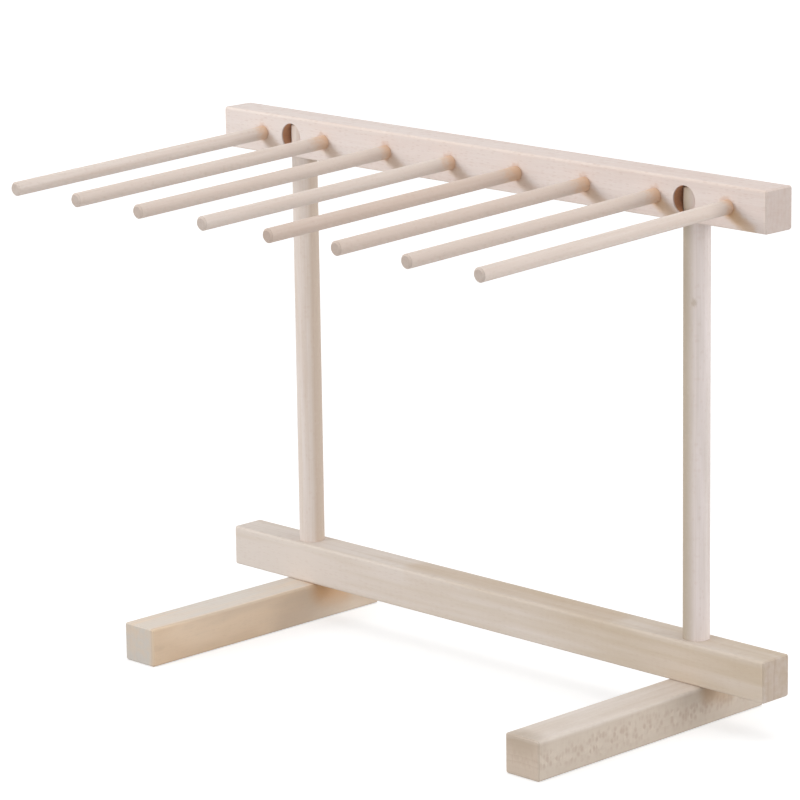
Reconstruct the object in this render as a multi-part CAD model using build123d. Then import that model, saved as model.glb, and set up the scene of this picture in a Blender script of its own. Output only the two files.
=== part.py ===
from build123d import *

import math
import os

# Wooden pasta drying rack. A top bar carries eight round rods and sits loose on two round posts. The posts
# stand glued in a base rail, which lies on two feet that run from front to back.
# X runs along the bar, -Y is the side that the rods point to, and Z is up.
# The origin is on the floor, in the middle of the space that the rack takes up.

# Overall sizes
rack_length = 420.0
rack_height = 304.5

# Nearly square beech stock. The top bar and the base rail are of one size, the feet are a little wider, and all
# have their long edges and sawn ends eased
bar_depth = 21.5
bar_height = 23.8
foot_width = 24.5
foot_height = 22.6
arris_round = 1.5
sawn_end_chamfer = 0.8

# Posts, how far they stand inwards of the middle of the end gaps between the rods, and how deep they stand
# in the rail and reach up into the bar
post_diameter = 15.0
post_inward_shift = 1.5
post_end_chamfer = 1.0
rail_socket_depth = 16.0
bar_socket_depth = 19.0

# Room for the bar to lift off the posts, and for the posts to pass through the cross holes for storage
post_clearance = 0.3
storage_clearance = 0.4

# Drying rods, with the mean distance of the end rods from the bar's ends. The row stands a little to the right
# of the bar's middle and dips towards the tips
rod_count = 8
rod_diameter = 8.0
rod_end_margin = 30.0
rod_row_shift = 3.5
rod_reach = 190.0
rod_dip_angle = 2.2
rod_socket_depth = 15.0
rod_tip_chamfer = 1.0
rod_root_chamfer = 0.5

# Feet, ahead of the rail's front face and behind its back face
foot_front_reach = 129.0
foot_rear_reach = 32.0

# Countersunk screws, one up through each foot and the rail into the post's end
screw_length = 50.0
screw_diameter = 4.0
screw_head_diameter = 8.0
screw_head_rim = 0.4
screw_head_height = 2.4
screw_sink_depth = 1.0
screw_point_length = 4.0
drive_slot_width = 1.0
drive_slot_span = 4.6
drive_slot_depth = 1.8

# Glue line round the fixed rods and posts, slack round the screws, and how far each cut runs out
glue_gap = 0.05
screw_gap = 0.05
cut_overrun = 2.0

# Places that follow from the sizes
half_depth = (rod_reach + bar_depth + foot_rear_reach) / 2
bar_front_y = rod_reach - half_depth
bar_centre_y = bar_front_y + bar_depth / 2
rail_top_z = foot_height + bar_height
bar_base_z = rack_height - bar_height
bar_centre_z = bar_base_z + bar_height / 2
post_foot_z = rail_top_z - rail_socket_depth
post_top_z = bar_base_z + bar_socket_depth
rod_pitch = (rack_length - 2 * rod_end_margin) / (rod_count - 1)
rod_places = [rod_row_shift + (index - (rod_count - 1) / 2) * rod_pitch for index in range(rod_count)]
post_offset = (rod_count / 2 - 1) * rod_pitch - post_inward_shift
post_places = {"left": -post_offset, "right": post_offset}


def eased_bar(length, width, height, along):
    """Stock of the given length along Axis.X or Axis.Y, resting on Z = 0, with its edges eased."""
    size = (length, width) if along == Axis.X else (width, length)
    block = Box(*size, height, align=(Align.CENTER, Align.CENTER, Align.MIN))
    block = fillet(block.edges().filter_by(along), arris_round)
    sawn_ends = block.faces().sort_by(along)
    return chamfer(sawn_ends[0].edges() + sawn_ends[-1].edges(), sawn_end_chamfer)


def round_hole(diameter, depth):
    """Cutter for a blind hole that opens at Z = 0 and goes down by its depth."""
    cutter = Cylinder(diameter / 2, depth + cut_overrun, align=(Align.CENTER, Align.CENTER, Align.MIN))
    return Pos(0, 0, -depth) * cutter


def rod_seat(x):
    """Where a rod leaves the bar's front face, with local +Z out along the dipping rod."""
    return Pos(x, bar_front_y, bar_centre_z) * Rot(90 + rod_dip_angle, 0, 0)


def drying_rod(x):
    """One dowel, from the bottom of its socket in the bar to its eased tip."""
    reach = rod_reach / math.cos(math.radians(rod_dip_angle))
    rod = Cylinder(rod_diameter / 2, rod_socket_depth + reach, align=(Align.CENTER, Align.CENTER, Align.MIN))
    rod = chamfer(rod.edges().sort_by(Axis.Z)[-1], rod_tip_chamfer)
    rod = chamfer(rod.edges().sort_by(Axis.Z)[0], rod_root_chamfer)
    return rod_seat(x) * Pos(0, 0, -rod_socket_depth) * rod


def screw_form(gap, mouth):
    """A countersunk screw, point up, with its head's face at Z = 0, or its hole when it has a gap and a mouth."""
    head_radius = screw_head_diameter / 2 + gap
    shank_radius = screw_diameter / 2 + gap
    profile = Polyline(
        (0, -mouth),
        (head_radius, -mouth),
        (head_radius, screw_head_rim),
        (shank_radius, screw_head_height),
        (shank_radius, screw_length - screw_point_length),
        (0, screw_length + gap),
        close=True,
    )
    return revolve(make_face(Plane.XZ * profile), Axis.Z)


def screw_hole(x):
    """Cutter for the screw under one post, open at the floor."""
    return Pos(x, bar_centre_y, screw_sink_depth) * screw_form(screw_gap, screw_sink_depth + cut_overrun)


def foot_screw(x):
    """The screw that holds a foot and the rail to the post, with its cross slot facing the floor."""
    slot = Box(drive_slot_span, drive_slot_width, 2 * drive_slot_depth)
    screw = screw_form(0, 0) - slot - Rot(0, 0, 90) * slot
    return Pos(x, bar_centre_y, screw_sink_depth) * screw


def top_bar():
    """The bar, with the rods' sockets, a blind socket from below and a cross hole for each post."""
    bar = Pos(0, bar_centre_y, bar_base_z) * eased_bar(rack_length, bar_depth, bar_height, Axis.X)
    for x in rod_places:
        bar -= rod_seat(x) * round_hole(rod_diameter + 2 * glue_gap, rod_socket_depth)
    for x in post_places.values():
        socket = round_hole(post_diameter + 2 * post_clearance, bar_socket_depth)
        bar -= Pos(x, bar_centre_y, bar_base_z) * Rot(180, 0, 0) * socket
        cross_hole = Cylinder((post_diameter + 2 * storage_clearance) / 2, bar_depth + 2 * cut_overrun)
        bar -= Pos(x, bar_centre_y, bar_centre_z) * Rot(90, 0, 0) * cross_hole
    return bar


def post(x):
    """A round post from its socket in the rail to the stop inside the bar, with its screw's pilot hole."""
    length = post_top_z - post_foot_z
    shaft = Cylinder(post_diameter / 2, length, align=(Align.CENTER, Align.CENTER, Align.MIN))
    shaft = chamfer(shaft.edges().filter_by(GeomType.CIRCLE), post_end_chamfer)
    return Pos(x, bar_centre_y, post_foot_z) * shaft - screw_hole(x)


def base_rail():
    """The rail that joins the feet, with a socket for each post and a hole for the screw under it."""
    rail = Pos(0, bar_centre_y, foot_height) * eased_bar(rack_length, bar_depth, bar_height, Axis.X)
    for x in post_places.values():
        socket = round_hole(post_diameter + 2 * glue_gap, rail_socket_depth)
        rail -= Pos(x, bar_centre_y, rail_top_z) * socket
        rail -= screw_hole(x)
    return rail


def foot(x):
    """A foot under one post, with the screw's countersunk hole from below."""
    length = foot_front_reach + bar_depth + foot_rear_reach
    block = eased_bar(length, foot_width, foot_height, Axis.Y)
    return Pos(x, half_depth - length / 2, 0) * block - screw_hole(x)


pieces = {"top_bar": top_bar(), "base_rail": base_rail()}
for side, place in post_places.items():
    pieces[f"post_{side}"] = post(place)
    pieces[f"foot_{side}"] = foot(place)
    pieces[f"foot_screw_{side}"] = foot_screw(place)
for number, place in enumerate(rod_places, start=1):
    pieces[f"drying_rod_{number}"] = drying_rod(place)

os.makedirs("parts", exist_ok=True)
for name, piece in pieces.items():
    export_step(piece, f"parts/{name}.step")
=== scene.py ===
"""Pasta drying rack in pale beech: the finishes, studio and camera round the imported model.

Places are in metres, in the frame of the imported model: X runs along the bar, -Y towards the rods' tips, Z up.
Patterns in the wood and stains on it are in millimetres.
"""

import logging
import math
from dataclasses import dataclass, field, replace
from enum import Enum

import bpy
from mathutils import Matrix, Vector


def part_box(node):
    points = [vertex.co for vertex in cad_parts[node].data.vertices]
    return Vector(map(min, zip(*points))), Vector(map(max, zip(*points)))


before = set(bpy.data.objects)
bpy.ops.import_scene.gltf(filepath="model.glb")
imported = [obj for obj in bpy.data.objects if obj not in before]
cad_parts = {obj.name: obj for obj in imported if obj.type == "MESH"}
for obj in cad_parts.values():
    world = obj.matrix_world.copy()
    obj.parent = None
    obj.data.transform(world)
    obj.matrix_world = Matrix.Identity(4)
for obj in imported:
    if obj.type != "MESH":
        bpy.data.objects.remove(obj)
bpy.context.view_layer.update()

LOG = logging.getLogger("pasta_rack")
MILLIMETRE = 0.001
TURN = 2 * math.pi
DIAGONAL = math.sqrt(0.5)
DOWEL_PITH = 40.0

Triple = tuple[float, float, float]

LENGTHWISE: Triple = (1.0, 0.0, 0.0)
FRONT_TO_BACK: Triple = (0.0, 1.0, 0.0)
UPRIGHT: Triple = (0.0, 0.0, 1.0)
LEFTWARDS: Triple = (-1.0, 0.0, 0.0)
WHITE: Triple = (1.0, 1.0, 1.0)


class Section(Enum):
    """Cross-section of a length of stock."""

    SQUARE = "square"
    ROUND = "round"


class Maths(Enum):
    """Operations between two numbers or two vectors."""

    ADD = "ADD"
    SUBTRACT = "SUBTRACT"
    MULTIPLY = "MULTIPLY"
    DIVIDE = "DIVIDE"
    POWER = "POWER"
    LEAST = "MINIMUM"
    MOST = "MAXIMUM"


class Alone(Enum):
    """Operations on one number."""

    ROOT = "SQRT"
    UNSIGNED = "ABSOLUTE"
    SINE = "SINE"
    WHOLE = "FLOOR"
    REST = "FRACT"


def screen_colour(red: float, green: float, blue: float) -> Triple:
    """Turn a colour as a screen shows it into the linear values that a shader takes.

    Args:
        red: red from 0 to 255.
        green: green from 0 to 255.
        blue: blue from 0 to 255.

    Returns:
        The three linear values, from 0 to 1.
    """
    shares = [value / 255 for value in (red, green, blue)]
    linear = [share / 12.92 if share <= 0.04045 else ((share + 0.055) / 1.055) ** 2.4 for share in shares]
    return (linear[0], linear[1], linear[2])


class Signal:
    """A number, vector or colour on its way through a material's nodes, with the usual operators."""

    def __init__(self, graph: "Graph", socket: bpy.types.NodeSocket) -> None:
        """Keep one output of a node.

        Args:
            graph: the node tree that the socket is in.
            socket: the output.
        """
        self.graph = graph
        self.socket = socket

    def __add__(self, other: "Operand") -> "Signal":
        """Sum."""
        return self.graph.combine(Maths.ADD, self, other)

    __radd__ = __add__

    def __sub__(self, other: "Operand") -> "Signal":
        """Difference."""
        return self.graph.combine(Maths.SUBTRACT, self, other)

    def __rsub__(self, other: "Operand") -> "Signal":
        """Difference, with the signal taken off."""
        return self.graph.combine(Maths.SUBTRACT, other, self)

    def __mul__(self, other: "Operand") -> "Signal":
        """Product."""
        return self.graph.combine(Maths.MULTIPLY, self, other)

    __rmul__ = __mul__

    def __truediv__(self, other: "Operand") -> "Signal":
        """Quotient."""
        return self.graph.combine(Maths.DIVIDE, self, other)

    def __pow__(self, other: float) -> "Signal":
        """Power."""
        return self.graph.combine(Maths.POWER, self, other)

    def least(self, other: "Operand") -> "Signal":
        """The smaller of the two."""
        return self.graph.combine(Maths.LEAST, self, other)

    def most(self, other: "Operand") -> "Signal":
        """The larger of the two."""
        return self.graph.combine(Maths.MOST, self, other)

    def alone(self, operation: Alone) -> "Signal":
        """The result of an operation on this number alone."""
        return self.graph.node("ShaderNodeMath", {"operation": operation.value}, {0: self})

    def unsigned(self) -> "Signal":
        """The number without its sign."""
        return self.alone(Alone.UNSIGNED)

    def rounded(self) -> "Signal":
        """The nearest whole number."""
        return (self + 0.5).alone(Alone.WHOLE)

    def wave(self) -> "Signal":
        """Sine wave of one period per unit."""
        return (self * TURN).alone(Alone.SINE)

    def step(self, low: float, high: float) -> "Signal":
        """Rise smoothly from 0 at the low value to 1 at the high value.

        Args:
            low: where the result leaves 0.
            high: where the result reaches 1.

        Returns:
            The signal from 0 to 1.
        """
        inputs = {"Value": self, "From Min": low, "From Max": high}
        return self.graph.node("ShaderNodeMapRange", {"interpolation_type": "SMOOTHSTEP"}, inputs)

    def towards(self, axis: Triple) -> "Signal":
        """Dot product with a vector: how far this one reaches along it, if that is a unit vector."""
        settings = {"operation": "DOT_PRODUCT"}
        return self.graph.node("ShaderNodeVectorMath", settings, {0: self, 1: axis}, "Value")

    def length(self) -> "Signal":
        """Length of this vector."""
        return self.graph.node("ShaderNodeVectorMath", {"operation": "LENGTH"}, {0: self}, "Value")

    def also(self, output: str) -> "Signal":
        """Another output of the node that this signal comes from."""
        return Signal(self.graph, self.socket.node.outputs[output])


Operand = Signal | float | Triple


class Graph:
    """The node tree of one material or world, built from expressions."""

    def __init__(self, tree: bpy.types.NodeTree) -> None:
        """Take over a node tree and empty it.

        Args:
            tree: the node tree.
        """
        self.tree = tree
        self.tree.nodes.clear()

    def node(self, kind: str, settings: dict, inputs: dict, output: str | int = 0) -> Signal:
        """Add a node.

        Args:
            kind: the node's type.
            settings: its properties, which are set first.
            inputs: values or signals by socket name or number.
            output: name or number of the output that is wanted.

        Returns:
            The signal from that output.
        """
        made = self.tree.nodes.new(kind)
        for setting, value in settings.items():
            setattr(made, setting, value)
        for name, value in inputs.items():
            socket = made.inputs[name]
            if isinstance(value, Signal):
                self.tree.links.new(value.socket, socket)
            elif isinstance(value, tuple) and socket.type == "RGBA":
                socket.default_value = (*value, 1)
            else:
                socket.default_value = value
        return Signal(self, made.outputs[output] if made.outputs else None)

    def combine(self, operation: Maths, first: Operand, second: Operand) -> Signal:
        """Work out an operation between two operands, of which at least one is a signal.

        Args:
            operation: what to do.
            first: left operand.
            second: right operand.

        Returns:
            A number if both operands are numbers, or else a vector.
        """
        numbers = [self._is_number(value) for value in (first, second)]
        if all(numbers):
            return self.node("ShaderNodeMath", {"operation": operation.value}, {0: first, 1: second})
        if any(numbers):
            vector, scale = (second, first) if numbers[0] else (first, second)
            scale = 1 / scale if operation is Maths.DIVIDE else scale
            inputs = {"Vector": vector, "Scale": scale}
            return self.node("ShaderNodeVectorMath", {"operation": "SCALE"}, inputs)
        return self.node("ShaderNodeVectorMath", {"operation": operation.value}, {0: first, 1: second})

    @staticmethod
    def _is_number(value: Operand) -> bool:
        """Tell a number from a vector or colour."""
        return value.socket.type == "VALUE" if isinstance(value, Signal) else not isinstance(value, tuple)

    def point(self, x: Operand, y: Operand, z: Operand) -> Signal:
        """Join three numbers into a vector."""
        return self.node("ShaderNodeCombineXYZ", {}, {0: x, 1: y, 2: z})

    def noise(self, place: Signal, layers: float) -> Signal:
        """Cloudy values round 0, from about -0.5 to 0.5.

        Args:
            place: where to look, with one blot per unit.
            layers: how many finer layers are added.

        Returns:
            The noise as a number.
        """
        return self.node("ShaderNodeTexNoise", {}, {"Vector": place, "Scale": 1.0, "Detail": layers}) - 0.5

    def cells(self, place: Signal) -> Signal:
        """Distance to the nearest of scattered points, about one per unit. Its Color differs by point."""
        return self.node("ShaderNodeTexVoronoi", {}, {"Vector": place, "Scale": 1.0}, "Distance")

    def lottery(self, number: Signal) -> Signal:
        """A random share from 0 to 1 for each whole number."""
        return self.node("ShaderNodeTexWhiteNoise", {"noise_dimensions": "1D"}, {"W": number}, "Value")

    def cover(self, mask: Operand, under: Signal | Triple, over: Signal | Triple) -> Signal:
        """Lay one colour over another.

        Args:
            mask: how much of the upper colour shows, from 0 to 1.
            under: lower colour.
            over: upper colour.

        Returns:
            The colour that results.
        """
        settings = {"data_type": "RGBA", "clamp_factor": True}
        return self.node("ShaderNodeMix", settings, {0: mask, 6: under, 7: over}, 2)

    def ground(self, tint: Signal, shade: Triple) -> Signal:
        """A colour with each of its three parts scaled by those of a second colour."""
        settings = {"data_type": "RGBA", "blend_type": "MULTIPLY"}
        return self.node("ShaderNodeMix", settings, {0: 1.0, 6: tint, 7: shade}, 2)


@dataclass(frozen=True)
class Blots:
    """Noise drawn out along the grain: length and width of one blot in mm, and how many finer layers it has.

    The turn is any number that sets it apart from other noises.
    """

    length: float
    width: float
    layers: int
    turn: float = 0.0


@dataclass(frozen=True)
class Timber:
    """One length of wood: which piece it is, and how it was cut from the tree.

    The grain runs along the piece, and the bark side is where the younger rings are. Dark years are rings
    at a distance from the piece's middle in mm, with a strength. The heartwood begins at heart_edge, in mm
    from the middle towards the bark, and the flecks of its rays gather within fleck_band, in mm, of the
    middle. The share of heartwood grows by warmer with each mm along the grain.
    """

    node: str
    grain: Triple
    bark: Triple
    section: Section
    seed: float
    pith_distance: float = 90.0
    heart_edge: float | None = None
    dark_years: tuple[tuple[float, float], ...] = ()
    fleck_band: float | None = None
    warmer: float = 0.0

    @property
    def middle(self) -> Vector:
        """Middle of the piece, in metres."""
        low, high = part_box(self.node)
        return (Vector(low) + Vector(high)) / 2

    @property
    def size(self) -> Vector:
        """The piece's box, in mm."""
        low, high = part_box(self.node)
        return (Vector(high) - Vector(low)) / MILLIMETRE

    @property
    def along_ring(self) -> Triple:
        """Unit vector across the grain, along the growth rings."""
        return tuple(Vector(self.grain).cross(Vector(self.bark)))

    @property
    def length(self) -> float:
        """Length along the grain, in mm, without what a leaning dowel's thickness adds to its box."""
        reach = sum(abs(part) * size for part, size in zip(self.grain, self.size))
        lean = sum(abs(part) * math.sqrt(max(0.0, 1 - part * part)) for part in self.grain)
        return reach - min(self.size) * lean if self.section is Section.ROUND else reach


@dataclass(frozen=True)
class Spot:
    """Where a shaded point lies in its piece of timber, in mm from the middle."""

    graph: Graph
    timber: Timber
    place: Signal
    facing: Signal
    here: Signal
    along: Signal
    out: Signal
    round_tree: Signal

    @classmethod
    def on(cls, graph: Graph, timber: Timber) -> "Spot":
        """Measure a piece of timber.

        Args:
            graph: the nodes of the material.
            timber: the piece.

        Returns:
            The spot that is being shaded.
        """
        place = graph.node("ShaderNodeTexCoord", {}, {}, "Object")
        here = (place - tuple(timber.middle)) * (1 / MILLIMETRE)
        return cls(
            graph=graph,
            timber=timber,
            place=place,
            facing=place.also("Normal"),
            here=here,
            along=here.towards(timber.grain),
            out=here.towards(timber.bark),
            round_tree=here.towards(timber.along_ring),
        )

    def cloud(self, blots: Blots) -> Signal:
        """Noise that is drawn out along the grain.

        Args:
            blots: the kind of noise.

        Returns:
            The noise, from about -0.5 to 0.5.
        """
        start = self.timber.seed + blots.turn
        place = self.graph.point(
            self.along / blots.length + start,
            self.out / blots.width + start,
            self.round_tree / blots.width,
        )
        return self.graph.noise(place, blots.layers)

    def depth(self) -> Signal:
        """How far the spot lies outside the piece's plain form, in mm: 0 on its faces, negative inside."""
        first, second, third = self._faces()
        return first.most(second).most(third)

    def edge(self) -> Signal:
        """How near the spot lies to an edge: 0 on it, and more negative with distance, in mm."""
        first, second, third = self._faces()
        return first.least(second).most(first.least(third)).most(second.least(third))

    def _faces(self) -> tuple[Signal, Signal, Signal]:
        """How far the spot lies outside each pair of faces, the sawn ends last."""
        ends = self.along.unsigned() - self.timber.length / 2
        if self.timber.section is Section.ROUND:
            axial = self.graph.point(0.0, self.out, self.round_tree)
            wall = axial.length() - min(self.timber.size) / 2
            return wall, wall - self.timber.length, ends
        width, height = (self.timber.size.y, self.timber.size.z)
        side: Triple = FRONT_TO_BACK
        if abs(self.timber.grain[1]) > abs(self.timber.grain[0]):
            width, side = self.timber.size.x, LENGTHWISE
        return (
            self.here.towards(side).unsigned() - width / 2,
            self.here.towards(UPRIGHT).unsigned() - height / 2,
            ends,
        )


@dataclass(frozen=True)
class Knot:
    """A pin knot, at a place in metres and of a radius in mm, drawn out up and down and dark in its core."""

    place: Triple
    radius: float
    tint: Triple = screen_colour(170, 148, 118)
    strength: float = 0.4
    stretch_share: float = 0.35
    core_share: float = 0.2
    ragged: Blots = Blots(2.0, 0.8, 2, 3.7)

    def mask(self, spot: Spot) -> Signal:
        """Where the knot shows.

        Args:
            spot: the spot that is being shaded.

        Returns:
            A mask from 0 to 1.
        """
        offset = (spot.place - self.place) * (1 / MILLIMETRE)
        across = offset - spot.graph.point(0.0, 0.0, offset.towards(UPRIGHT) * self.stretch_share)
        ragged = spot.cloud(self.ragged) * self.radius
        return 1 - (across.length() + ragged).step(self.radius * self.core_share, self.radius)


@dataclass(frozen=True)
class Smear:
    """A soft patch of colour that runs from one place, given in metres, by a length in mm. It paints shade,
    shadows and other darker patches.

    It fades out over its spread, outside its radius, and thins out by its fade towards the far end. Its edge
    wanders by its patches, as a share of the spread, and with a pitch it repeats along the bar.
    """

    start: Triple
    run: Triple
    radius: float
    spread: float
    tint: Triple
    strength: float
    pitch: float | None = None
    fade: float = 0.0
    patches: float = 1.0
    patchy: Blots = Blots(3.2, 2.4, 2, 9.1)

    def mask(self, spot: Spot) -> Signal:
        """Where the patch shows.

        Args:
            spot: the spot that is being shaded.

        Returns:
            A mask from 0 to 1.
        """
        offset = (spot.place - self.start) * (1 / MILLIMETRE)
        if self.pitch is not None:
            nearest = (offset.towards(LENGTHWISE) / self.pitch).rounded() * self.pitch
            offset = offset - spot.graph.point(nearest, 0.0, 0.0)
        reach = Vector(self.run).length_squared
        share = (offset.towards(self.run) / reach).most(0.0).least(1.0)
        distance = (offset - spot.graph.point(*(share * part for part in self.run))).length()
        patchy = spot.cloud(self.patchy) * self.spread * self.patches
        soft = 1 - (distance + patchy).step(self.radius, self.radius + self.spread)
        return soft * (1 - share * self.fade)


@dataclass(frozen=True)
class GlueAndRootShade:
    """Warm darkening on a dowel, just outside the face that it stands in: partly dried glue, partly painted
    contact shade where the dowel meets the bar. Lengths are in mm.
    """

    at: float
    spread: float
    tint: Triple = screen_colour(224, 180, 140)
    strength: float = 0.7
    reach_share: float = 1.3
    patchy: Blots = Blots(3.0, 2.0, 2, 5.3)

    def mask(self, spot: Spot) -> Signal:
        """Where the darkening shows.

        Args:
            spot: the spot that is being shaded.

        Returns:
            A mask from 0 to 1.
        """
        patchy = spot.cloud(self.patchy) * self.spread
        return 1 - (spot.along - self.at + patchy).step(0.0, self.spread * self.reach_share)


Mark = Knot | Smear | GlueAndRootShade


@dataclass(frozen=True)
class ToolMarks:
    """The planer's ripples along the grain and the saw's slanting lines on the ends. Lengths are in mm."""

    planer_pitch: float = 1.9
    planer_wander: float = 2.0
    planer_blots: Blots = Blots(20.0, 20.0, 1, 5.9)
    planer_relief: float = 0.003
    saw_pitch: float = 1.7
    saw_slant: Triple = (0.25, 0.2, 1.0)
    saw_relief: float = 0.008

    def height(self, spot: Spot, sawn: Signal) -> Signal:
        """Height of the marks.

        Args:
            spot: the spot that is being shaded.
            sawn: mask of the sawn ends.

        Returns:
            The height, in mm.
        """
        wander = spot.cloud(self.planer_blots) * self.planer_wander
        ripples = ((spot.along + wander) / self.planer_pitch).wave() * self.planer_relief
        lines = (spot.here.towards(self.saw_slant) / self.saw_pitch).wave()
        return ripples * (1 - sawn) + lines * sawn * self.saw_relief


@dataclass(frozen=True)
class Beech:
    """Bare planed beech: growth rings, rays, fibres, sawn ends, eased edges lighter with wear and a painted
    highlight, and bored holes darkened with scorch and painted shade.

    Patterns and reliefs are in mm. A depth is how much a pattern shows, a shade scales the wood's colour, and
    limits are where a mask leaves 0 and where it reaches 1.
    """

    sapwood: Triple
    heartwood: Triple
    late_wood: Triple
    ray: Triple
    bright_ray: Triple
    drift: Blots = Blots(150.0, 38.0, 1)
    drift_reach: float = 6.0
    ripple: Blots = Blots(30.0, 8.0, 2)
    ripple_reach: float = 1.1
    heart_share: float = 0.35
    heart_contrast: float = 2.0
    heart_blur: float = 2.2
    cloud: Blots = Blots(80.0, 14.0, 2, 1.3)
    cloud_depth: float = 0.5
    streak: Blots = Blots(110.0, 2.6, 2, 2.9)
    streak_depth: float = 0.5
    ring_spacing: float = 3.1
    ring_depth: float = 0.16
    ring_rise: float = 4.0
    ring_fall: float = 30.0
    ring_mean: float = 0.9
    ring_blots: Blots = Blots(60.0, 20.0, 1, 6.6)
    faintest_year: float = 0.1
    uneven_years: float = 2.3
    uneven_reach: float = 1.3
    uneven_row: float = 0.5
    dark_year_limits: tuple[float, float] = (0.15, 1.0)
    ray_depth: float = 0.22
    ray_cell: Triple = (4.2, 5.0, 0.9)
    ray_share: float = 0.5
    bright_share: float = 0.2
    share_blur: float = 0.12
    ray_blots: Blots = Blots(5.0, 2.5, 2, 8.2)
    ray_shake: tuple[float, float] = (0.5, 0.6)
    fleck_core: float = 0.12
    fleck_edge: float = 0.52
    band_core: float = 1.0
    band_depth: float = 1.2
    band_wander: float = 7.0
    band_blots: Blots = Blots(45.0, 30.0, 1, 7.7)
    fibre: Blots = Blots(14.0, 0.3, 3)
    fibre_depth: float = 0.07
    sawn_limits: tuple[float, float] = (0.5, 0.92)
    sawn_shade: Triple = (0.88, 0.87, 0.86)
    sawn_ring_depth: float = 0.22
    sawn_ray_loss: float = 0.6
    # Inside bored holes: darker and redder, with drill scorch and painted shade of the recess.
    bored_limits: tuple[float, float] = (-1.1, -0.7)
    bored_scorch_and_shade: Triple = (0.82, 0.52, 0.34)
    # Lift of the edges' colour: burnished wear and a painted highlight along the arrises.
    wear_and_highlight_shade: Triple = (1.09, 1.08, 1.05)
    worn_width: float = 2.2
    worn_line: float = 0.3
    worn_mean: float = 0.8
    worn_depth: float = 1.2
    worn_blots: Blots = Blots(9.0, 5.0, 2, 4.4)
    fibre_relief: float = 0.05
    ring_relief: float = 0.02
    ray_relief: float = 0.02
    tool_marks: ToolMarks = ToolMarks()
    roughness: float = 0.58
    sawn_roughness: float = 0.16
    fibre_roughness: float = 0.22
    bright_ray_gloss: float = 0.08
    worn_gloss: float = 0.06
    refraction: float = 1.46
    reflection: float = 0.35

    def material(self, timber: Timber, marks: tuple[Mark, ...] = ()) -> bpy.types.Material:
        """Make the finish for one piece.

        Args:
            timber: the piece of wood.
            marks: knots, glue, painted shade and shadows, and other darker patches on it.

        Returns:
            The material.
        """
        made = bpy.data.materials.new(f"{timber.node}_beech")
        made.use_nodes = True
        graph = Graph(made.node_tree)
        spot = Spot.on(graph, timber)
        drift = spot.cloud(self.drift) * self.drift_reach
        bent = spot.out + drift + spot.cloud(self.ripple) * self.ripple_reach
        sawn = spot.facing.towards(timber.grain).unsigned().step(*self.sawn_limits)
        fibre = spot.cloud(self.fibre)
        ring = self._rings(spot, bent)
        ray, bright = self._rays(spot, bent)
        wear_and_highlight = self._wear_and_highlight(spot)

        colour = self._ground_colour(spot, bent)
        ring_cover = sawn * (self.sawn_ring_depth - self.ring_depth) + self.ring_depth
        colour = graph.cover(ring * ring_cover, colour, self.late_wood)
        colour = graph.cover(ray * self.ray_depth * (1 - sawn * self.sawn_ray_loss), colour, self.ray)
        colour = graph.cover(bright * self.ray_depth * (1 - sawn), colour, self.bright_ray)
        colour = colour * (fibre * self.fibre_depth + 1)
        # Inside bored holes: painted shade of the recess with drill scorch.
        bored = 1 - spot.depth().step(*self.bored_limits)
        for mask, shade in (
            (sawn, self.sawn_shade),
            # Edges lighter: wear, and a painted highlight along the arrises.
            (wear_and_highlight * (1 - sawn), self.wear_and_highlight_shade),
            (bored, self.bored_scorch_and_shade),
        ):
            colour = graph.cover(mask, colour, graph.ground(colour, shade))
        # Marks: the knot, glue, and patches of painted shade and shadow.
        for mark in marks:
            colour = graph.cover(mark.mask(spot) * mark.strength, colour, mark.tint)

        relief = fibre * self.fibre_relief + ring * self.ring_relief + ray * self.ray_relief
        height = relief + self.tool_marks.height(spot, sawn)
        gloss = bright * self.bright_ray_gloss + wear_and_highlight * self.worn_gloss
        rough = sawn * self.sawn_roughness + fibre * self.fibre_roughness - gloss + self.roughness
        bump = {"Strength": 1.0, "Distance": MILLIMETRE, "Height": height}
        shader = graph.node(
            "ShaderNodeBsdfPrincipled",
            {},
            {
                "Base Color": colour,
                "Roughness": rough,
                "IOR": self.refraction,
                "Specular IOR Level": self.reflection,
                "Normal": graph.node("ShaderNodeBump", {}, bump),
            },
        )
        graph.node("ShaderNodeOutputMaterial", {}, {"Surface": shader})
        return made

    def _wear_and_highlight(self, spot: Spot) -> Signal:
        """Eased edges, in patches: lighter with wear and with a painted highlight along each arris.

        Args:
            spot: the spot that is being shaded.

        Returns:
            A mask from 0 to about 1.
        """
        patches = spot.cloud(self.worn_blots) * self.worn_depth + self.worn_mean
        return spot.edge().step(-self.worn_width, -self.worn_line) * patches

    def _ground_colour(self, spot: Spot, bent: Signal) -> Signal:
        """Heartwood and sapwood, in clouds and in streaks along the grain.

        Args:
            spot: the spot that is being shaded.
            bent: distance towards the bark, with the grain's drift.

        Returns:
            The colour.
        """
        warm = spot.cloud(self.cloud) * self.cloud_depth + spot.cloud(self.streak) * self.streak_depth
        warm = warm * self.heart_contrast + spot.along * spot.timber.warmer + self.heart_share
        if spot.timber.heart_edge is not None:
            edge = spot.timber.heart_edge
            warm = warm.most(1 - bent.step(edge - self.heart_blur, edge + self.heart_blur))
        return spot.graph.cover(warm, self.sapwood, self.heartwood)

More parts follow.
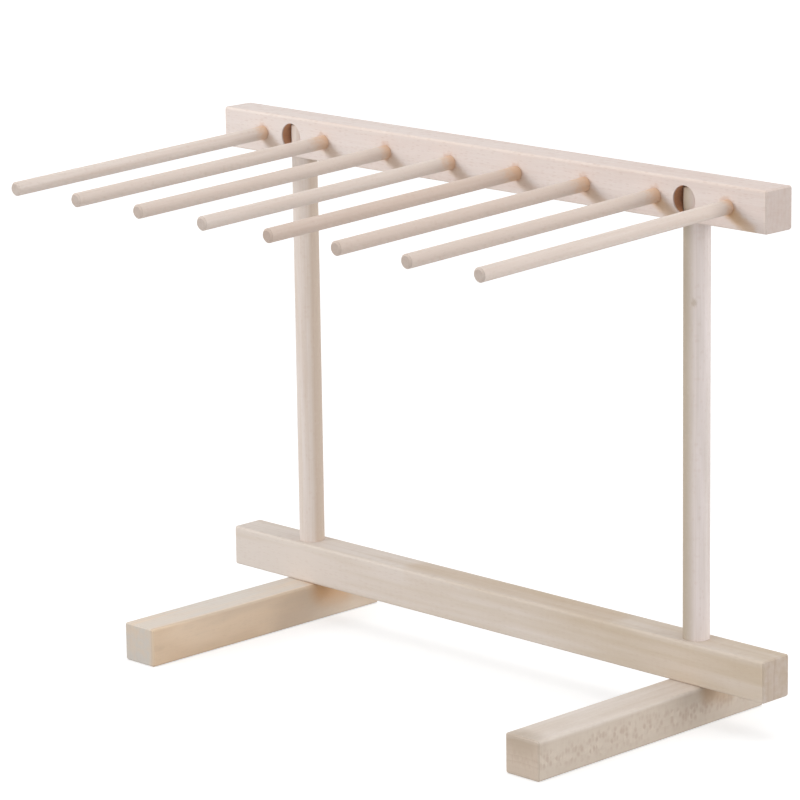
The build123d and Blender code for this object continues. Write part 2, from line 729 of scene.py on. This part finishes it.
    def _rings(self, spot: Spot, bent: Signal) -> Signal:
        """Late wood, which darkens towards the end of each year.

        Args:
            spot: the spot that is being shaded.
            bent: distance towards the bark, with the grain's drift.

        Returns:
            A mask from 0 to 1.
        """
        outwards = bent + spot.timber.pith_distance
        from_pith = (outwards * outwards + spot.round_tree * spot.round_tree).alone(Alone.ROOT)
        years = from_pith / self.ring_spacing
        swing = spot.graph.point(years / self.uneven_years, spot.timber.seed, self.uneven_row)
        years = years + spot.graph.noise(swing, 1) * self.uneven_reach
        part = years.alone(Alone.REST)
        vigour = spot.graph.lottery(years.alone(Alone.WHOLE) + spot.timber.seed)
        ring = part**self.ring_rise * (1 - part**self.ring_fall)
        ring = ring * (vigour * (1 - self.faintest_year) + self.faintest_year)
        ring = ring * (spot.cloud(self.ring_blots) + self.ring_mean)
        for offset, strength in spot.timber.dark_years:
            ring = ring + (1 - (bent - offset).unsigned().step(*self.dark_year_limits)) * strength
        return ring

    def _rays(self, spot: Spot, bent: Signal) -> tuple[Signal, Signal]:
        """Flecks of the wood's rays: dashes where the bark side shows, smudges where the wood is quartered.

        Args:
            spot: the spot that is being shaded.
            bent: distance towards the bark, with the grain's drift.

        Returns:
            A mask of the dark flecks and one of the bright ones, from 0 to 1.
        """
        length, reach, thickness = self.ray_cell
        along_shake, out_shake = self.ray_shake
        shaken = spot.cloud(self.ray_blots)
        place = spot.graph.point(
            spot.along / length + spot.timber.seed + shaken * along_shake,
            bent / reach + shaken * out_shake,
            spot.round_tree / thickness,
        )
        distance = spot.graph.cells(place)
        chance = distance.also("Color").towards(LENGTHWISE)
        fleck = 1 - distance.step(self.fleck_core, self.fleck_edge)
        if spot.timber.fleck_band is not None:
            wander = spot.cloud(self.band_blots) * self.band_wander
            away = (spot.out + wander).unsigned().step(self.band_core, spot.timber.fleck_band)
            fleck = fleck * (self.band_depth - away)
        dark = chance.step(1 - self.ray_share, 1 - self.ray_share + self.share_blur)
        bright = 1 - chance.step(self.bright_share, self.bright_share + self.share_blur)
        return fleck * dark, fleck * bright


@dataclass(frozen=True)
class ZincSteel:
    """Bright zinc plate on a screw, duller in blots and finely scratched. Lengths are in mm."""

    bright: Triple = screen_colour(198, 200, 202)
    dull: Triple = screen_colour(150, 150, 146)
    blot: float = 1.6
    blot_layers: int = 3
    bright_share: float = 0.6
    contrast: float = 1.4
    scratches: Triple = (2.0, 2.0, 9.0)
    scratch_layers: int = 2
    scratch_relief: float = 0.01
    roughness: float = 0.36
    roughness_swing: float = 0.3

    def material(self, node: str) -> bpy.types.Material:
        """Make the finish for one screw.

        Args:
            node: name of the screw's node.

        Returns:
            The material.
        """
        made = bpy.data.materials.new(f"{node}_zinc")
        made.use_nodes = True
        graph = Graph(made.node_tree)
        spot = graph.node("ShaderNodeTexCoord", {}, {}, "Object") * (1 / MILLIMETRE)
        cloud = graph.noise(spot / self.blot, self.blot_layers)
        scratch = graph.noise(spot * self.scratches, self.scratch_layers)
        height = scratch * self.scratch_relief
        bump = {"Strength": 1.0, "Distance": MILLIMETRE, "Height": height}
        shader = graph.node(
            "ShaderNodeBsdfPrincipled",
            {},
            {
                "Base Color": graph.cover(cloud * self.contrast + self.bright_share, self.dull, self.bright),
                "Metallic": 1.0,
                "Roughness": cloud * self.roughness_swing + self.roughness,
                "Normal": graph.node("ShaderNodeBump", {}, bump),
            },
        )
        graph.node("ShaderNodeOutputMaterial", {}, {"Surface": shader})
        return made


PINK_BEECH = Beech(
    sapwood=screen_colour(229, 217, 211),
    heartwood=screen_colour(219, 200, 191),
    late_wood=screen_colour(198, 168, 152),
    ray=screen_colour(192, 164, 150),
    bright_ray=screen_colour(232, 222, 215),
)
CREAM_BEECH = replace(
    PINK_BEECH,
    sapwood=screen_colour(220, 209, 200),
    heartwood=screen_colour(202, 185, 164),
    late_wood=screen_colour(180, 154, 130),
    ray=screen_colour(180, 150, 128),
    bright_ray=screen_colour(226, 214, 198),
    cloud_depth=0.6,
    streak_depth=0.6,
    streak=Blots(150.0, 4.5, 2, 2.9),
    ring_depth=0.11,
    ray_depth=0.12,
    wear_and_highlight_shade=(1.04, 1.035, 1.02),
    sawn_shade=(0.945, 0.93, 0.96),
    sawn_ring_depth=0.34,
)
WARM_BEECH = replace(
    CREAM_BEECH,
    sapwood=screen_colour(226, 217, 207),
    heartwood=screen_colour(243, 214, 182),
    heart_share=0.05,
    heart_blur=3.5,
    ray_depth=0.07,
    streak_depth=0.5,
    ring_depth=0.3,
    wear_and_highlight_shade=(1.02, 1.03, 1.03),
    sawn_shade=(0.76, 0.765, 0.77),
    sawn_ring_depth=0.16,
)
FLECKED_BEECH = replace(
    CREAM_BEECH,
    sapwood=screen_colour(232, 222, 214),
    heartwood=screen_colour(215, 201, 186),
    ray=screen_colour(178, 148, 130),
    bright_ray=screen_colour(226, 212, 196),
    ray_depth=0.34,
    ray_cell=(2.4, 3.2, 1.4),
    ray_share=0.66,
    fleck_edge=0.84,
    sawn_shade=(0.89, 0.86, 0.84),
)
DOWEL_BEECH = replace(
    PINK_BEECH,
    sapwood=screen_colour(238, 227, 219),
    heartwood=screen_colour(222, 204, 192),
    drift_reach=2.0,
    late_wood=screen_colour(196, 162, 140),
    ray=screen_colour(196, 164, 144),
    ray_depth=0.12,
    cloud=Blots(60.0, 5.0, 2, 1.3),
    streak=Blots(70.0, 1.6, 2, 2.9),
    ring_spacing=2.2,
    ray_cell=(3.0, 3.6, 0.6),
    sawn_shade=(0.68, 0.67, 0.66),
    worn_width=0.9,
)
POST_BEECH = replace(
    DOWEL_BEECH,
    sapwood=screen_colour(228, 218, 212),
    heartwood=screen_colour(212, 194, 178),
)
# The right post's finish: dark heartwood on its left side, partly wood and partly painted shade.
HEART_AND_SHADE_BEECH = replace(
    POST_BEECH,
    sapwood=screen_colour(247, 236, 234),
    heartwood=screen_colour(184, 170, 152),
    heart_share=0.28,
    heart_blur=4.5,
    cloud_depth=0.25,
    streak_depth=0.2,
)
ZINC = ZincSteel()


def dress(node: str, material: bpy.types.Material) -> None:
    """Give a node its finish and say so.

    Args:
        node: name of the node.
        material: the finish.
    """
    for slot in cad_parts[node].material_slots:
        slot.material = material
    LOG.info("%s takes %s", node, material.name)


@dataclass
class DryingBar:
    """The top bar and its row of rods, with glue and painted contact shade round the rods' roots and painted
    shadows below them.

    The ring and the painted shadow are placed at the first rod, and each rod's painted shadow has its own share
    of the strength.
    A rod's warmth is how far its sapwood goes towards heartwood. Lengths are in mm.
    """

    bar: Timber = Timber("top_bar", LENGTHWISE, FRONT_TO_BACK, Section.SQUARE, seed=3.1, warmer=0.0011)
    rod_count: int = 8
    row_length: float = 360.0
    rod_dip: float = math.radians(2.2)
    rod_reach: float = 190.0
    bark_turn: float = 2.4
    seed_step: float = 1.37
    warm_rods: tuple[float, ...] = (0.2, 0.5, 0.7, 0.4, 1.3, 1.0, 0.7, 0.4)
    root_reaches: tuple[float, ...] = (9.0, 12.0, 7.0, 10.0, 14.0, 13.0, 11.0, 6.0)
    # How dark each rod's painted shadow is, as a share of the strength.
    painted_shadow_shares: tuple[float, ...] = (0.5, 0.5, 0.5, 0.5, 0.43, 0.64, 0.86, 1.0)
    # Warm darkening round each rod's root on the bar's front: partly dried glue soaked into the wood, partly
    # painted contact shade where rod and bar meet.
    ring: Smear = Smear(
        start=(-0.1765, 0.06825, 0.2926),
        run=(-0.6, 0.0, 0.8),
        radius=3.4,
        spread=2.6,
        tint=screen_colour(190, 138, 92),
        strength=0.3,
        patches=2.0,
    )
    # Painted shadow: a warm brown streak running down and to the right from each rod's root over the bar's
    # front, where the rod's shadow falls.
    painted_shadow: Smear = Smear(
        start=(-0.1772, 0.06825, 0.2913),
        run=(17.0, 0.0, -10.0),
        radius=1.3,
        spread=4.4,
        tint=screen_colour(200, 150, 70),
        strength=0.7,
        fade=0.5,
        patches=0.5,
    )

    @property
    def rod_pitch(self) -> float:
        """Distance from rod to rod."""
        return self.row_length / (self.rod_count - 1)

    def build(self) -> None:
        """Dress the bar and the rods."""
        # The bar's marks: painted shadows below the rods, and warm darkening round their roots.
        marks = (*self._painted_shadows(), replace(self.ring, pitch=self.rod_pitch))
        dress(self.bar.node, PINK_BEECH.material(self.bar, marks))
        for number in range(1, self.rod_count + 1):
            self._rod(number)

    def _painted_shadows(self) -> tuple[Smear, ...]:
        """The painted shadows below the rods, from the left."""
        x, y, z = self.painted_shadow.start
        pitch = self.rod_pitch * MILLIMETRE
        return tuple(
            replace(self.painted_shadow, start=(x + index * pitch, y, z), strength=self.painted_shadow.strength * share)
            for index, share in enumerate(self.painted_shadow_shares)
        )

    def _rod(self, number: int) -> None:
        """Dress one rod, each cut from another part of a tree.

        Args:
            number: number of the rod, counted from the left.
        """
        outward = Vector((0.0, -math.cos(self.rod_dip), -math.sin(self.rod_dip)))
        bark = Matrix.Rotation(number * self.bark_turn, 3, outward) @ Vector(LENGTHWISE)
        rod = Timber(
            f"drying_rod_{number}",
            tuple(outward),
            tuple(bark),
            Section.ROUND,
            seed=number * self.seed_step,
            pith_distance=DOWEL_PITH,
        )
        cool, warm = Vector(DOWEL_BEECH.sapwood), Vector(DOWEL_BEECH.heartwood)
        finish = replace(DOWEL_BEECH, sapwood=tuple(cool.lerp(warm, self.warm_rods[number - 1])))
        # Darkening near the rod's root: dried glue and painted contact shade.
        root = GlueAndRootShade(at=rod.length / 2 - self.rod_reach, spread=self.root_reaches[number - 1])
        dress(rod.node, finish.material(rod, (root,)))


@dataclass
class Posts:
    """The two round posts. Each is cut so that its heartwood shows as a darker side, which also stands as
    painted shade: the left post darker on its right, the right post darker on its left.
    """

    left: Timber = Timber(
        "post_left",
        UPRIGHT,
        (-DIAGONAL, -DIAGONAL, 0.0),
        Section.ROUND,
        seed=2.3,
        pith_distance=DOWEL_PITH,
        heart_edge=-1.5,
    )
    right: Timber = Timber(
        "post_right",
        UPRIGHT,
        (DIAGONAL, DIAGONAL, 0.0),
        Section.ROUND,
        seed=6.1,
        pith_distance=DOWEL_PITH,
        heart_edge=-2.6,
    )
    knot: Knot = Knot(place=(0.15635, 0.0724, 0.2362), radius=2.2)

    def build(self) -> None:
        """Dress both posts."""
        dress(self.left.node, POST_BEECH.material(self.left))
        dress(self.right.node, HEART_AND_SHADE_BEECH.material(self.right, (self.knot,)))


@dataclass
class Base:
    """The rail, the two feet under it and the screws that hold them.

    Each foot has painted shade on its right side just under the rail, warm brown as in a narrow gap, whose
    place along X follows from the foot.
    """

    rail: Timber = Timber(
        "base_rail",
        LENGTHWISE,
        FRONT_TO_BACK,
        Section.SQUARE,
        seed=11.7,
        dark_years=((-1.4, 1.0), (-6.4, 0.6)),
        warmer=0.0022,
    )
    left: Timber = Timber(
        "foot_left",
        FRONT_TO_BACK,
        LEFTWARDS,
        Section.SQUARE,
        seed=5.3,
        heart_edge=-11.0,
        dark_years=((-11.4, 0.8), (-13.2, 0.7)),
    )
    right: Timber = Timber(
        "foot_right",
        FRONT_TO_BACK,
        UPRIGHT,
        Section.SQUARE,
        seed=8.9,
        heart_edge=9.5,
        fleck_band=9.0,
    )
    # Painted shade on a foot's right side, just under the rail's front edge, where the rail shades it.
    left_under_rail_shade: Smear = Smear(
        start=(0.0, 0.0755, 0.0195),
        run=(0.0, 16.0, -3.0),
        radius=2.0,
        spread=13.0,
        tint=screen_colour(220, 170, 118),
        strength=0.78,
        fade=0.3,
        patches=0.2,
    )
    right_under_rail_shade: Smear = replace(left_under_rail_shade, spread=9.0, tint=screen_colour(196, 167, 137))
    # The right foot's front end made darker towards its top.
    end_top_darkening: Smear = Smear(
        start=(0.149, -0.06075, 0.0226),
        run=(6.0, 0.0, 0.0),
        radius=3.0,
        spread=13.0,
        tint=screen_colour(160, 140, 116),
        strength=0.42,
        patches=0.2,
    )
    # A band along the rail's top made darker and yellower, over part of its length.
    top_band_darkening: Smear = Smear(
        start=(-0.06, 0.079, 0.0464),
        run=(150.0, 0.0, 0.0),
        radius=5.0,
        spread=9.0,
        tint=screen_colour(190, 162, 128),
        strength=0.3,
        patches=0.4,
    )

    def build(self) -> None:
        """Dress the rail, the feet and the screws."""
        dress(self.rail.node, CREAM_BEECH.material(self.rail, (self.top_band_darkening,)))
        left_shade = self._against(self.left, self.left_under_rail_shade)
        dress(self.left.node, WARM_BEECH.material(self.left, (left_shade,)))
        right_shade = self._against(self.right, self.right_under_rail_shade)
        dress(self.right.node, FLECKED_BEECH.material(self.right, (right_shade, self.end_top_darkening)))
        for side in ("left", "right"):
            node = f"foot_screw_{side}"
            dress(node, ZINC.material(node))

    @staticmethod
    def _against(foot: Timber, rail_shade: Smear) -> Smear:
        """The painted shade, moved to the right side of a foot."""
        x = foot.middle.x + foot.size.x / 2 * MILLIMETRE
        return replace(rail_shade, start=(x, *rail_shade.start[1:]))


@dataclass
class Camera:
    """The camera that took the photograph."""

    place: Triple = (1.59446, -1.57396, 0.70434)
    azimuth: float = math.radians(45.304)
    pitch: float = math.radians(13.40)
    roll: float = math.radians(-0.854)
    lens: float = 186.565
    sensor: float = 36.0
    nearest: float = 0.05
    farthest: float = 50.0

    def build(self) -> None:
        """Make the camera and look through it."""
        forward = Vector(
            (
                -math.sin(self.azimuth) * math.cos(self.pitch),
                math.cos(self.azimuth) * math.cos(self.pitch),
                -math.sin(self.pitch),
            )
        )
        level = Vector((math.cos(self.azimuth), math.sin(self.azimuth), 0.0))
        upright = level.cross(forward)
        right = math.cos(self.roll) * level + math.sin(self.roll) * upright
        up = math.cos(self.roll) * upright - math.sin(self.roll) * level
        data = bpy.data.cameras.new("camera")
        data.lens = self.lens
        data.sensor_width = self.sensor
        data.clip_start, data.clip_end = self.nearest, self.farthest
        made = bpy.data.objects.new("camera", data)
        turned = Matrix((right, up, -forward)).transposed().to_4x4()
        made.matrix_world = Matrix.Translation(self.place) @ turned
        bpy.context.scene.collection.objects.link(made)
        bpy.context.scene.camera = made
        LOG.info("camera set")


@dataclass
class Softbox:
    """A square studio light. Its power is in watts and its side in metres."""

    name: str
    place: Triple
    power: float
    side: float
    target: Triple = (0.0, 0.0, 0.16)

    def build(self) -> None:
        """Hang the light and aim it."""
        data = bpy.data.lights.new(self.name, "AREA")
        data.shape = "SQUARE"
        data.size = self.side
        data.energy = self.power
        made = bpy.data.objects.new(self.name, data)
        made.location = self.place
        made.rotation_mode = "QUATERNION"
        made.rotation_quaternion = (Vector(self.target) - Vector(self.place)).to_track_quat("-Z", "Y")
        bpy.context.scene.collection.objects.link(made)
        LOG.info("light %s hung", self.name)


@dataclass
class Studio:
    """Pale floor, white surroundings and soft lights.

    The floor glows to the eye from near to far, and the room's light weakens from the walls to the ceiling.
    """

    floor_radius: float = 12.0
    floor_sides: int = 64
    floor_drop: float = 0.0002
    floor_colour: Triple = (0.62, 0.62, 0.62)
    near_glow: float = 0.56
    far_glow: float = 0.85
    glow_starts: float = 0.5
    glow_ends: float = 3.0
    room_light: float = 0.82
    ceiling_light: float = 0.40
    ceiling_from: float = 0.1
    ceiling_to: float = 0.8
    lights: list[Softbox] = field(
        default_factory=lambda: [
            Softbox("key", (-0.95, -2.15, 0.86), power=23.6, side=0.65),
            Softbox("over", (0.1, 0.1, 2.2), power=14.8, side=1.6),
            Softbox("side", (1.9, 1.0, 0.65), power=13.0, side=1.0),
        ]
    )

    def build(self) -> None:
        """Lay the floor, light the surroundings and hang the lights."""
        self._lay_floor()
        self._light_surroundings()
        for light in self.lights:
            light.build()

    def _seen(self, graph: Graph) -> Signal:
        """One for rays that see the background: straight, mirrored or through glass."""
        path = graph.node("ShaderNodeLightPath", {}, {}, "Is Camera Ray")
        return path.most(path.also("Is Glossy Ray")).most(path.also("Is Transmission Ray"))

    def _lay_floor(self) -> None:
        """Lay a round floor under the feet, which shows white, keeps shadows and is clear from below."""
        turns = [TURN * side / self.floor_sides for side in range(self.floor_sides)]
        rim = [(math.cos(turn), math.sin(turn), 0.0) for turn in turns]
        points = [tuple(self.floor_radius * part for part in point) for point in rim]
        mesh = bpy.data.meshes.new("floor")
        mesh.from_pydata(points, [], [tuple(range(self.floor_sides))])
        made = bpy.data.objects.new("floor", mesh)
        made.location.z = -self.floor_drop
        bpy.context.scene.collection.objects.link(made)
        material = bpy.data.materials.new("floor")
        material.use_nodes = True
        graph = Graph(material.node_tree)
        distance = graph.node("ShaderNodeTexCoord", {}, {}, "Object").length()
        farther = distance.step(self.glow_starts, self.glow_ends)
        glow = self._seen(graph) * (farther * (self.far_glow - self.near_glow) + self.near_glow)
        paint = graph.node("ShaderNodeBsdfDiffuse", {}, {"Color": self.floor_colour})
        shine = graph.node("ShaderNodeEmission", {}, {"Color": WHITE, "Strength": glow})
        lit = graph.node("ShaderNodeAddShader", {}, {0: paint, 1: shine})
        clear = graph.node("ShaderNodeBsdfTransparent", {}, {})
        below = graph.node("ShaderNodeNewGeometry", {}, {}, "Backfacing")
        surface = graph.node("ShaderNodeMixShader", {}, {0: below, 1: lit, 2: clear})
        graph.node("ShaderNodeOutputMaterial", {}, {"Surface": surface})
        mesh.materials.append(material)
        LOG.info("floor laid")

    def _light_surroundings(self) -> None:
        """Make the surroundings white to the eye and softer as a light."""
        world = bpy.data.worlds.new("studio")
        world.use_nodes = True
        bpy.context.scene.world = world
        graph = Graph(world.node_tree)
        height = graph.node("ShaderNodeTexCoord", {}, {}, "Generated").towards(UPRIGHT)
        ceiling = height.step(self.ceiling_from, self.ceiling_to)
        room = self.room_light - ceiling * (self.room_light - self.ceiling_light)
        strength = self._seen(graph) * (1 - room) + room
        background = graph.node("ShaderNodeBackground", {}, {"Color": WHITE, "Strength": strength})
        graph.node("ShaderNodeOutputWorld", {}, {"Surface": background})
        LOG.info("surroundings lit")


def main() -> None:
    """Dress the rack, light it and set the camera."""
    logging.basicConfig(level=logging.INFO, format="%(name)s: %(message)s")
    bpy.context.scene.view_settings.view_transform = "Standard"
    for part in (Camera(), DryingBar(), Posts(), Base(), Studio()):
        part.build()
    LOG.info("sizes written")


if __name__ == "__main__":
    main()
